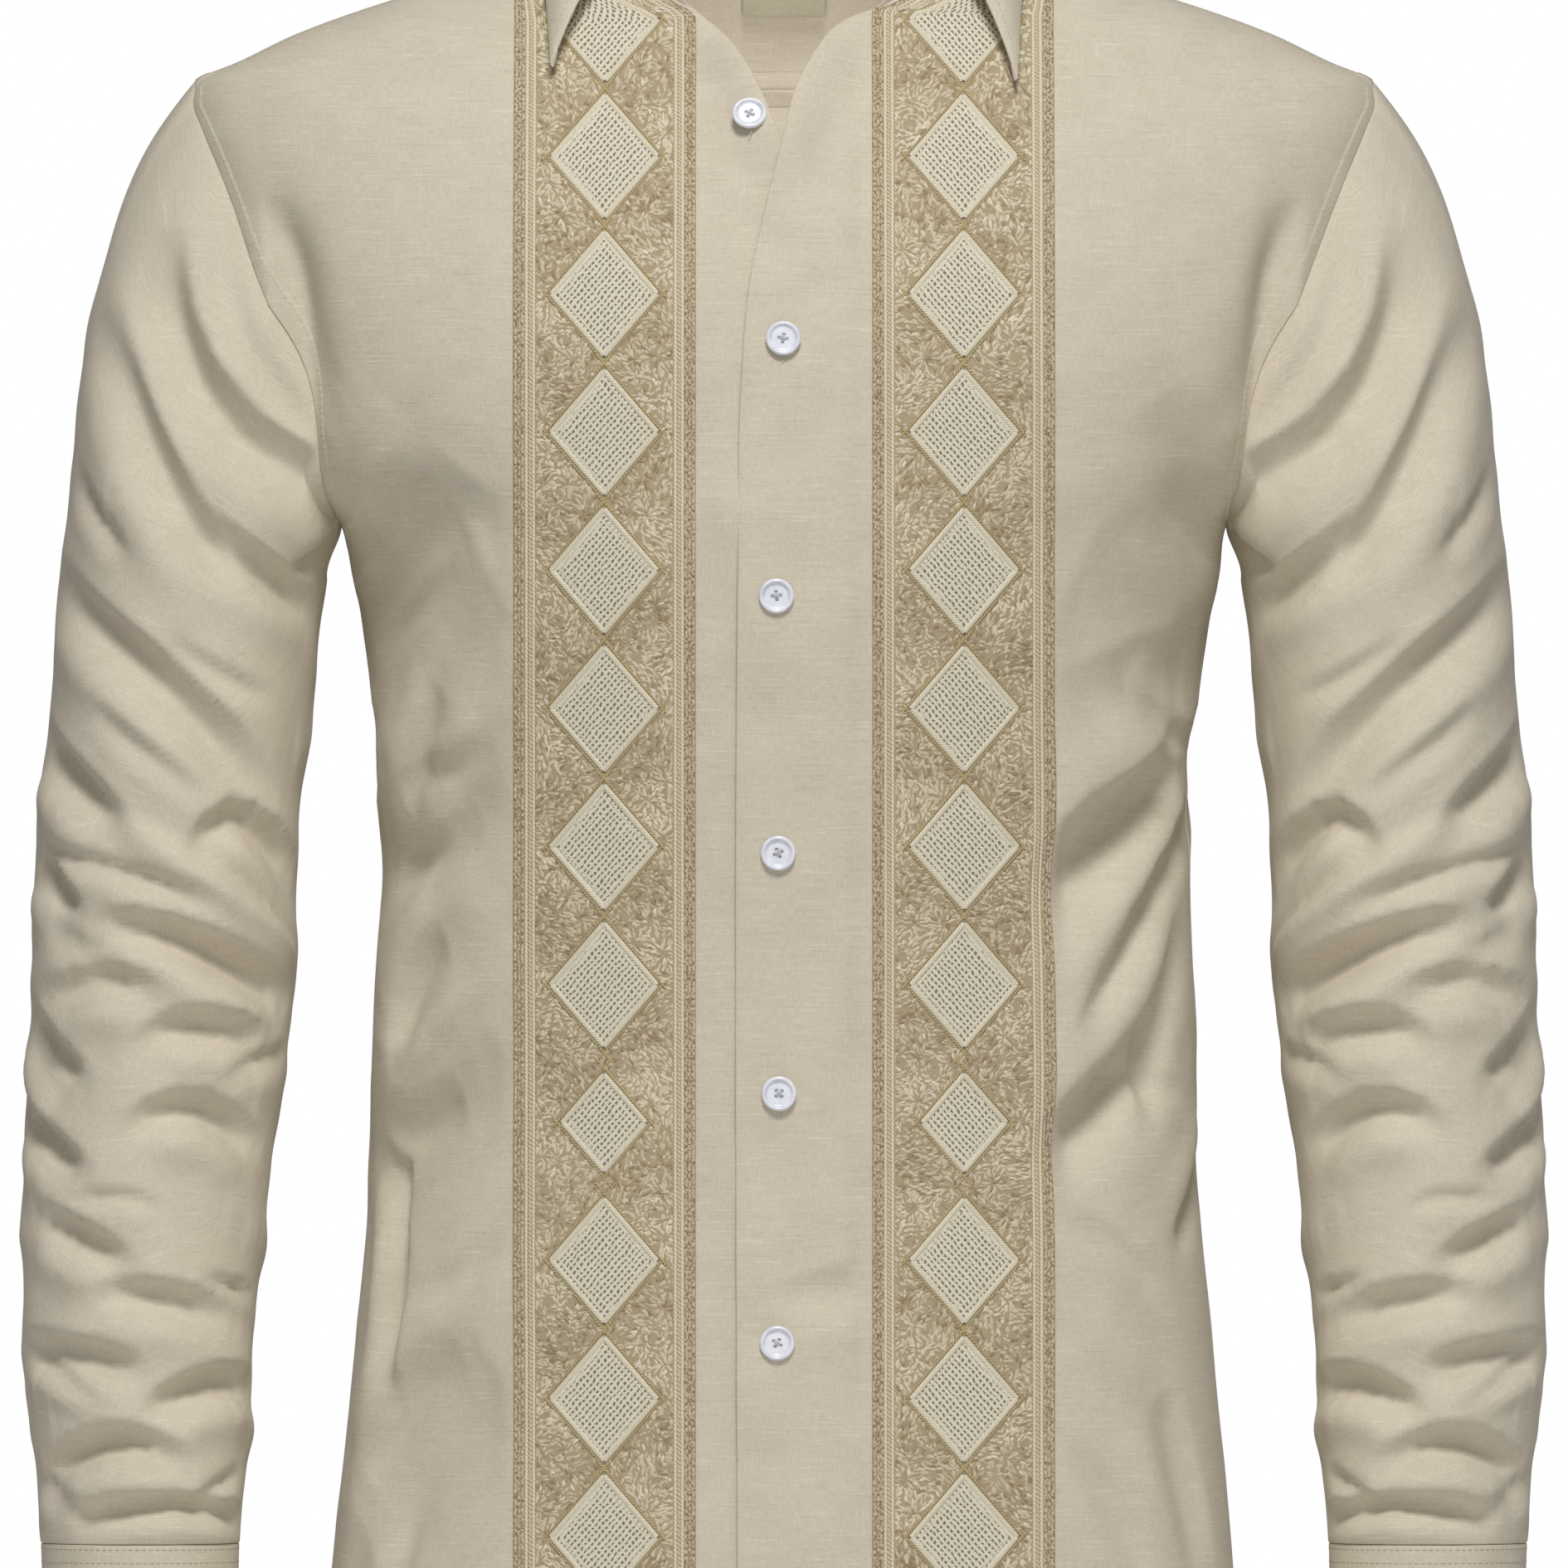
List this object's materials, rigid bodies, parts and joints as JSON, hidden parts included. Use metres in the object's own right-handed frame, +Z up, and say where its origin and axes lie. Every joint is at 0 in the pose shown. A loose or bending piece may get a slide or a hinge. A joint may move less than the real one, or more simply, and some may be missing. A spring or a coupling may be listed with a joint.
{
  "type": "barong tagalog shirt",
  "caption": "Man's long-sleeved barong shirt, filled out as worn and hollow, with an open collar, lapped buttoned front and an embroidered band down each front.",
  "frame": {"origin": "on the shirt's middle plane, inside the neck, level with the side neck points: where a hanger's neck or a stand would hold it", "axes": "+Z up, the front faces -Y, +X is the wearer's left"},
  "size_m": [0.6108, 0.2586, 0.7787],
  "materials": {
    "shirt_cloth": "natural beige slub weave with a slight sheen",
    "embroidered_band": "tan and gold stitching with cream openwork lozenges",
    "button": "bluish white, polished",
    "label": "plain woven, blank"
  },
  "bodies": {
    "root": {"front_right": "shirt_cloth", "front_left": "shirt_cloth", "back": "shirt_cloth", "yoke": "shirt_cloth", "sleeve_right": "shirt_cloth", "sleeve_left": "shirt_cloth", "cuff_right": "shirt_cloth", "cuff_left": "shirt_cloth", "collar_stand": "shirt_cloth", "collar_leaf": "shirt_cloth", "band_right": "embroidered_band", "band_left": "embroidered_band", "button_1": "button", "button_2": "button", "button_3": "button", "button_4": "button", "button_5": "button", "button_6": "button", "button_7": "button", "button_stand": "button", "button_cuff_right": "button", "button_cuff_left": "button", "neck_label": "label"}
  },
  "joints": []
}
